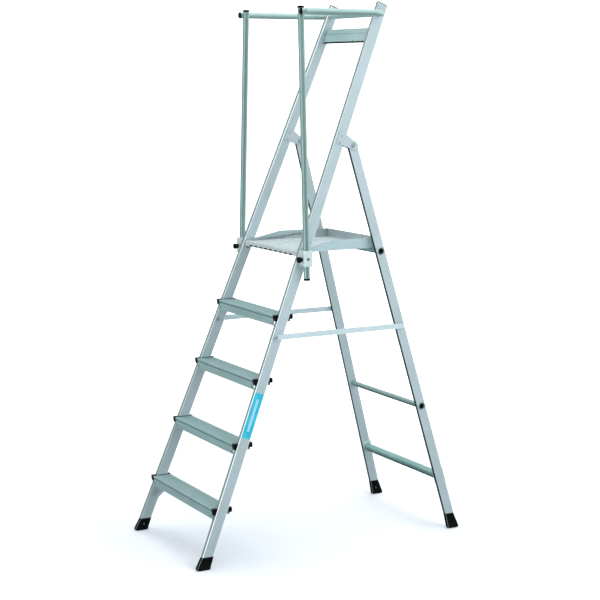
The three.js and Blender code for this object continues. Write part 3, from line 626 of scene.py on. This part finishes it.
# ------------------------------------------------------------------ cross tubes of the rear frame
def cross_tubes():
    """Two tubes with flared ends and a near-black disc inside each end as painted shade of the bore, and the plain
    lower brace.
    """
    for node in ("platform_rest_tube", "upper_brace"):
        low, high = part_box(node)
        flare = (high.z - low.z) / 2
        radius, bore = flare - 0.0032, flare - 0.0048
        length = high.x - low.x
        half = [(bore, 0.0075), (bore + 0.0006, 0.005), (bore + 0.0022, 0.001), (flare - 0.0006, 0),
                (flare, 0.0005), (flare - 0.0004, 0.0014), (radius + 0.0007, 0.0027), (radius, 0.0045)]
        profile = half + [(r, length - d) for r, d in reversed(half)] + [half[0]]
        start = (low.x, (low.y + high.y) / 2, (low.z + high.z) / 2)
        piece = lathe(f"{node}_flared", start, X_AXIS, profile, MATERIALS["rail_x"])
        place_piece(piece, "rear_frame", "tube", node)
        # painted shade: a near-black disc a few millimetres inside each tube end stands for the dark inside of the
        # bore
        plug = [(0, 0.004), (bore + 0.0008, 0.004), (bore + 0.0008, 0.006), (0, 0.006)]
        for name, side in SIDES.items():
            end = (high.x if side > 0 else low.x, *start[1:])
            bore_shade_disc = lathe(f"{node}_stopper_{name}", end, (-side, 0, 0), plug, MATERIALS["black_painted_shade"])
            place_piece(bore_shade_disc, "rear_frame", "plastic")
    low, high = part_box("lower_brace")
    middle = [(low.y + high.y) / 2, (low.z + high.z) / 2]
    ends = [(low.x, *middle), (high.x, *middle)]
    brace = tube("lower_brace_tube", ends, (high.z - low.z) / 2, TUBE_WALL, MATERIALS["brace"], 56)
    place_piece(brace, "rear_frame", "brace", "lower_brace")


def brackets():
    """The folded brackets of the lower brace, each with a row of rivets down the leg."""
    for name, side in SIDES.items():
        node = f"brace_bracket_{name}"
        polished(node, MATERIALS["bar"], 0.0, 1.0, 0.0005)
        low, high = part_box(node)
        space = rail_space(LEG, side)
        along = (low.z + high.z) / 2 / math.cos(LEG["lean"])
        for row, offset in enumerate((-0.022, -0.008, 0.008, 0.022)):
            spot = space @ Vector((-side * LEG["width"] / 2, 0.0026, along + offset))
            away = space.to_3x3() @ Vector((0, 1, 0))
            rivet = dome(f"bracket_rivet_{row}_{name}", spot, away, 0.0028, 0.0011, MATERIALS["steel"])
            place_piece(rivet, "rear_frame", "steel")


# ------------------------------------------------------------------ hinge plates, pins and bolts
GUSSET_RIVETS = (1.7656, 1.7370)  # along the stile


def hinges():
    """The gussets on the stiles with their rivets, and the pins that cross the stiles."""
    for name, side in SIDES.items():
        space = rail_space(STILE, side)
        for face in ("outer", "inner"):
            polished(f"hinge_gusset_{face}_{name}", MATERIALS[f"stile_{name}"], 0.0, 1.0, 0.0007)
            reach = 0.0033 if face == "outer" else -STILE["width"] - 0.0033
            away = space.to_3x3() @ Vector((side * (1 if face == "outer" else -1), 0, 0))
            for row, along in enumerate(GUSSET_RIVETS):
                spot = space @ Vector((side * reach, 0.0235, along))
                head = f"gusset_rivet_{face}_{row}_{name}"
                rivet = dome(head, spot, away, 0.0042, 0.0013, MATERIALS["steel"])
                place_piece(rivet, "front_frame", "steel")
        pin("hinge_pin", name, side, 0.0095, 0.005, 0.0026)
        pin("tie_bolt", name, side, 0.0075, 0.004, 0.0026)
        pivot_pin(name, side)


def pin(base, name, side, head, shank, depth):
    """A turned pin across a stile: a domed head on a washer outside and a plain one inside."""
    node = f"{base}_{name}"
    low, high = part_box(node)
    length = high.x - low.x
    start = (low.x if side > 0 else high.x, (low.y + high.y) / 2, (low.z + high.z) / 2)
    rise = length - depth
    profile = [(0, 0), (head - 0.0006, 0), (head, 0.0006), (head, depth), (shank, depth), (shank, rise),
               (head, rise), (head, rise + 0.0007), (head * 0.72, rise + 0.001),
               (head * 0.66, length - 0.0005), (head * 0.5, length), (0, length)]
    piece = lathe(f"{node}_turned", start, (side, 0, 0), profile, MATERIALS["steel"])
    place_piece(piece, "front_frame", "steel", node)


def pivot_pin(name, side):
    """The platform's pivot pin, with a thin near-black ring round the base of its head, painted as the shade where
    the head meets the plate.
    """
    node = f"platform_pivot_{name}"
    low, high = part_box(node)
    length = high.x - low.x
    start = (low.x if side > 0 else high.x, (low.y + high.y) / 2, (low.z + high.z) / 2)
    head, shank, depth = 0.008, 0.005, 0.003
    profile = [(0, 0.0006), (0.0032, 0.0006), (0.0038, 0), (head - 0.0008, 0), (head, 0.0008), (head, depth),
               (shank, depth), (shank, length), (0, length)]
    piece = lathe(f"{node}_turned", start, (side, 0, 0), profile, MATERIALS["steel"])
    place_piece(piece, "front_frame", "steel", node)
    # painted shade: a thin near-black ring round the base of the head
    rim = [(head, depth - 0.0012), (head + 0.0014, depth - 0.0012), (head + 0.0014, depth), (head, depth),
           (head, depth - 0.0012)]
    washer = lathe(f"{node}_washer", start, (side, 0, 0), rim, MATERIALS["black_painted_shade"])
    place_piece(washer, "front_frame", "steel")


def tie_bars():
    for name in SIDES:
        polished(f"tie_bar_{name}", MATERIALS["bar"], 0.0, 1.0, 0.0007)


# ------------------------------------------------------------------ guard rail
POST_CAP = 0.0085  # how far a cap stands beyond its post's tube


def guard():
    """The bow, bent at both rear corners, and what is fixed to it on each side."""
    low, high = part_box("guard_bow")
    radius = (high.z - low.z) / 2
    arm, rear, height = high.x - radius, high.y - radius, (low.z + high.z) / 2
    turn = [(arm - BEND_RADIUS + BEND_RADIUS * math.cos(a), rear - BEND_RADIUS + BEND_RADIUS * math.sin(a))
            for a in (math.pi / 2 * k / 14 for k in range(15))]
    half = [(arm, low.y), (arm, low.y + 0.03), *turn]
    path = [(x, y, height) for x, y in half] + [(-x, y, height) for x, y in reversed(half)]
    bow = tube("guard_bow_tube", path, radius, TUBE_WALL, MATERIALS["bow"], 48)
    place_piece(bow, "guard", "tube", "guard_bow")
    for name, side in SIDES.items():
        cap = [(0, -0.012), (radius - 0.002, -0.012), (radius - 0.002, 0.0002), (radius + 0.0003, 0.0003),
               (radius + 0.0003, 0.0018), (radius - 0.0006, 0.0032), (radius - 0.003, 0.004), (0, 0.004)]
        end = (side * arm, low.y, height)
        piece = lathe(f"bow_cap_moulded_{name}", end, (0, -1, 0), cap, MATERIALS["plastic"])
        place_piece(piece, "guard", "plastic", f"bow_cap_{name}")
        bow_bolt(name, side)
        post(name, side)
        clamp(name, side)
        knob(name, side)


def bow_bolt(name, side):
    """A washer, a hexagon nut and the bolt's rounded end."""
    node = f"bow_bolt_{name}"
    low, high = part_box(node)
    start = (low.x if side > 0 else high.x, (low.y + high.y) / 2, (low.z + high.z) / 2)
    washer = [(0, 0), (0.0065, 0), (0.0065, 0.0011), (0.0061, 0.0014), (0, 0.0014)]
    nut = [(0, 0.0012), (0.0052, 0.0012), (0.0052, 0.0036), (0.0044, 0.0041), (0, 0.0041)]
    stub = rounded(0.0026, 0.003, high.x - low.x, 0.0008)
    for part, profile, segments, stands_for in (("washer", washer, 48, [node]), ("nut", nut, 6, []),
                                                ("end", stub, 24, [])):
        piece = lathe(f"bow_bolt_{part}_{name}", start, (side, 0, 0), profile, MATERIALS["steel"], segments)
        place_piece(piece, "guard", "steel", *stands_for)


def post(name, side):
    """The post lies on its slide joint's axis, which passes through the clamp's pivot."""
    down = Vector(JOINTS[f"post_slide_{name}"]["axis"]).normalized()
    foot = Vector(JOINTS[f"clamp_swing_{name}"]["pos_m"])
    radius = (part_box("guard_bow")[1].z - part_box("guard_bow")[0].z) / 2
    at = lambda z: foot - down * ((z - foot.z) / -down.z)
    top_cap, bottom_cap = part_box(f"post_top_cap_{name}"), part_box(f"post_bottom_cap_{name}")
    top = top_cap[1].z - POST_CAP
    bottom = bottom_cap[0].z + POST_CAP
    body = f"post_{name}"
    skin = drawn_metal(f"post_metal_{name}", TUBE, down, 0.36, 0.92, 0.0, 0.03)
    ends = [at(bottom), at(top)]
    piece = tube(f"guard_post_tube_{name}", ends, radius, TUBE_WALL, skin, 48)
    place_piece(piece, body, "tube", f"guard_post_{name}")
    bore = radius - TUBE_WALL - 0.0003
    cap = [(0, -0.010), (bore, -0.010), (bore, 0.0002), (radius + 0.0003, 0.0003),
           (radius + 0.0003, POST_CAP - 0.0013), (radius - 0.0004, POST_CAP - 0.0004),
           (radius - 0.002, POST_CAP - 0.0001), (0, POST_CAP - 0.0001)]
    for end, place, away in (("top", ends[1], -down), ("bottom", ends[0], down)):
        piece = lathe(f"post_{end}_cap_moulded_{name}", place, away, cap, MATERIALS["plastic"])
        place_piece(piece, body, "plastic", f"post_{end}_cap_{name}")


def clamp(name, side):
    """The clamp block, with the head of its pivot bolt on the outer face, set in a near-black ring that is painted
    shade of its recess.
    """
    node = f"post_clamp_{name}"
    polished(node, MATERIALS["cast"], 0.0025, 0.03, 0.0005)
    low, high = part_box(node)
    pivot = Vector(JOINTS[f"clamp_swing_{name}"]["pos_m"])
    face = high.x if side > 0 else low.x
    spot = Vector((face - side * 0.0022, pivot.y, pivot.z - 0.004))
    # painted shade: a near-black ring flush with the face stands for the recess round the bolt head
    ring = [(0.0030, 0), (0.0056, 0), (0.0056, 0.0016), (0.0051, 0.0021), (0.0036, 0.0021), (0.0031, 0.0016),
            (0.0030, 0)]
    piece = lathe(f"clamp_bolt_{name}", spot, (side, 0, 0), ring, MATERIALS["black_painted_shade"], 32)
    place_piece(piece, BODY_OF[node], "steel")
    core = rounded(0.0031, 0.0, 0.0014, 0.0004)
    piece = lathe(f"clamp_bolt_core_{name}", spot, (side, 0, 0), core, MATERIALS["steel"], 24)
    place_piece(piece, BODY_OF[node], "steel")


def knob(name, side):
    """A six-lobed knob with a rounded rim and a collar."""
    node = f"star_knob_{name}"
    low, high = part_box(node)
    axis = Vector(JOINTS[f"knob_turn_{name}"]["pos_m"])
    start = (axis.x, low.y, axis.z)
    thick, neck_end = 0.011, 0.0196
    head = [(0, 0.001), (0.0045, 0.0008), (0.0085, 0), (0.0104, 0.0006), (0.0110, 0.0024),
            (0.0110, thick - 0.0022), (0.0104, thick - 0.0006), (0.009, thick), (0, thick)]
    piece = lathe(f"{node}_moulded", start, (0, 1, 0), head, MATERIALS["plastic"], 72, 6, 0.0012)
    place_piece(piece, BODY_OF[node], "plastic", node)
    neck = [(0, thick - 0.001), (0.0088, thick - 0.001), (0.0082, neck_end - 0.001),
            (0.0078, neck_end), (0, neck_end)]
    piece = lathe(f"{node}_neck", start, (0, 1, 0), neck, MATERIALS["plastic"])
    place_piece(piece, BODY_OF[node], "plastic")


# ------------------------------------------------------------------ label
# each layer: name, start and stop along the stile, inset from its edges, thickness, material
LABEL_LAYERS = (("stile_label", 0.533, 0.714, 0.0030, 0.00025, "label"),
                ("stile_label_field", 0.560, 0.690, 0.0165, 0.00040, "print"))


def label():
    """A plain foil label on the right stile's outer face, with one blank pale field."""
    space = rail_space(STILE, 1)
    for name, start, stop, inset, lift, skin in LABEL_LAYERS:
        bm = bmesh.new()
        corner = 0.003
        front, rear = inset, STILE["depth"] - inset
        outline = []
        for cy, cz, turn in ((rear - corner, stop - corner, 0), (front + corner, stop - corner, 1),
                             (front + corner, start + corner, 2), (rear - corner, start + corner, 3)):
            for k in range(5):
                angle = math.pi / 2 * (turn + k / 4)
                outline.append((cy + corner * math.cos(angle), cz + corner * math.sin(angle)))
        layers = [[bm.verts.new(space @ Vector((x, y, z))) for y, z in outline] for x in (0.00002, lift)]
        count = len(outline)
        for i in range(count):
            j = (i + 1) % count
            bm.faces.new([layers[0][i], layers[0][j], layers[1][j], layers[1][i]])
        for layer in layers:
            bm.faces.new(layer)
        place_piece(finish_mesh(bm, name, MATERIALS[skin]), "front_frame", "stile")


# ------------------------------------------------------------------ studio
def studio():
    """A pale floor that curves up into a backdrop, a bright room and soft lamps."""
    bm = bmesh.new()
    away = Vector((-math.sin(math.radians(61)), math.cos(math.radians(61)), 0))
    across = Vector((away.y, -away.x, 0))
    radius = 2.5
    profile = [(-9.0, 0.0), (5.0, 0.0)]
    profile += [(5.0 + radius * math.sin(a), radius - radius * math.cos(a))
                for a in (math.pi / 2 * k / 16 for k in range(1, 17))]
    profile += [(5.0 + radius, 7.0)]
    rows = [[bm.verts.new(away * run + across * width + Vector((0, 0, rise))) for run, rise in profile]
            for width in (-9.0, 9.0)]
    for i in range(len(profile) - 1):
        bm.faces.new([rows[0][i], rows[0][i + 1], rows[1][i + 1], rows[1][i]])
    floor = finish_mesh(bm, "studio_floor", floor_material())
    floor.visible_glossy = False
    studio_wall()
    studio_room()
    for name, place, size, power, shine in LAMPS:
        lamp = bpy.data.lights.new(f"{name}_light", "AREA")
        lamp.shape = "RECTANGLE"
        lamp.size, lamp.size_y = size
        lamp.energy = power
        lamp.color = (0.97, 0.99, 1.0)
        holder = bpy.data.objects.new(f"{name}_light", lamp)
        holder.location = place
        holder.rotation_euler = (Vector((0, 0, 1.0)) - Vector(place)).to_track_quat("-Z", "Y").to_euler()
        holder.visible_glossy = shine
        bpy.context.scene.collection.objects.link(holder)


def studio_wall():
    """A white wall all round, which lights and shades nothing."""
    bm = bmesh.new()
    bmesh.ops.create_cone(bm, cap_ends=False, segments=96, radius1=WALL_RADIUS, radius2=WALL_RADIUS,
                          depth=WALL_HEIGHT, matrix=Matrix.Translation((0, 0, WALL_HEIGHT / 2 - 1)))
    wall = finish_mesh(bm, "studio_wall", wall_material())
    wall.visible_diffuse = False
    wall.visible_glossy = False
    wall.visible_transmission = False
    wall.visible_shadow = False


WALL_RADIUS = 8.9
WALL_HEIGHT = 16.0
# the room's brightness by compass direction in degrees from +X: bright screens and dark openings
ROOM = ((-180, 1.0), (-152, 0.95), (-147, 0.20), (-115, 0.17), (-96, 0.75), (-62, 0.75), (-46, 0.16),
        (38, 0.17), (62, 1.0), (180, 1.0))
ROOM_DARK = (0.52, 0.72, 0.70)
ROOM_LIGHT = (0.95, 0.98, 1.0)
ROOM_BELOW = (0.02, 0.04, 0.04)
ROOM_POWER = 0.76
# each lamp: name, place, size in metres, watts, and whether it shows in reflections
LAMPS = (("key", (4.2, 1.6, 3.0), (4.0, 4.0), 225, False), ("top", (-0.6, 0.6, 4.8), (3.0, 3.0), 165, False),
         ("fill", (4.2, -3.2, 0.7), (2.4, 1.4), 85, False), ("strip", (1.3, -4.8, 1.4), (0.6, 3.2), 8, True))


def studio_room():
    """A world with a bright ceiling and, around the horizon, screens and dark openings for the metal."""
    world = bpy.data.worlds.new("studio_room")
    world.use_nodes = True
    bpy.context.scene.world = world
    nodes, links = world.node_tree.nodes, world.node_tree.links
    split = nodes.new("ShaderNodeSeparateXYZ")
    links.new(nodes.new("ShaderNodeTexCoord").outputs["Generated"], split.inputs["Vector"])
    compass = nodes.new("ShaderNodeMath")
    compass.operation = "ARCTAN2"
    links.new(split.outputs["Y"], compass.inputs[0])
    links.new(split.outputs["X"], compass.inputs[1])
    ramp = nodes.new("ShaderNodeValToRGB")
    links.new(remap(nodes, links, compass.outputs["Value"], 0.0, 1.0, -math.pi, math.pi), ramp.inputs["Fac"])
    ramp.color_ramp.interpolation = "EASE"
    stops = ramp.color_ramp.elements
    while len(stops) < len(ROOM):
        stops.new(0.5)
    for stop, (direction, level) in zip(stops, ROOM):
        stop.position = (direction + 180) / 360
        hue = ROOM_LIGHT if level > 0.7 else ROOM_DARK
        stop.color = (*tint(hue, level), 1.0)
    upward = remap(nodes, links, split.outputs["Z"], 0.0, 1.0, 0.08, 0.4)
    downward = remap(nodes, links, split.outputs["Z"], 0.0, 1.0, -0.25, -0.5)
    above = blend_colours(nodes, links, upward, ramp.outputs["Color"], ROOM_LIGHT)
    links.new(blend_colours(nodes, links, downward, above, ROOM_BELOW), nodes["Background"].inputs["Color"])
    nodes["Background"].inputs["Strength"].default_value = ROOM_POWER


def camera():
    """The reference view, with the Standard transform so that white stays white."""
    lens = bpy.data.cameras.new("photo_view")
    lens.sensor_width = 36.0
    lens.lens = 91.78
    holder = bpy.data.objects.new("photo_view", lens)
    holder.location = (5.3854, -2.9664, 1.8742)
    holder.rotation_euler = (math.radians(81.534), 0, math.radians(61.032))
    bpy.context.scene.collection.objects.link(holder)
    bpy.context.scene.camera = holder
    bpy.context.scene.view_settings.view_transform = "Standard"


camera()
studio()
rails()
feet()
treads()
platform()
cross_tubes()
brackets()
hinges()
tie_bars()
guard()
label()
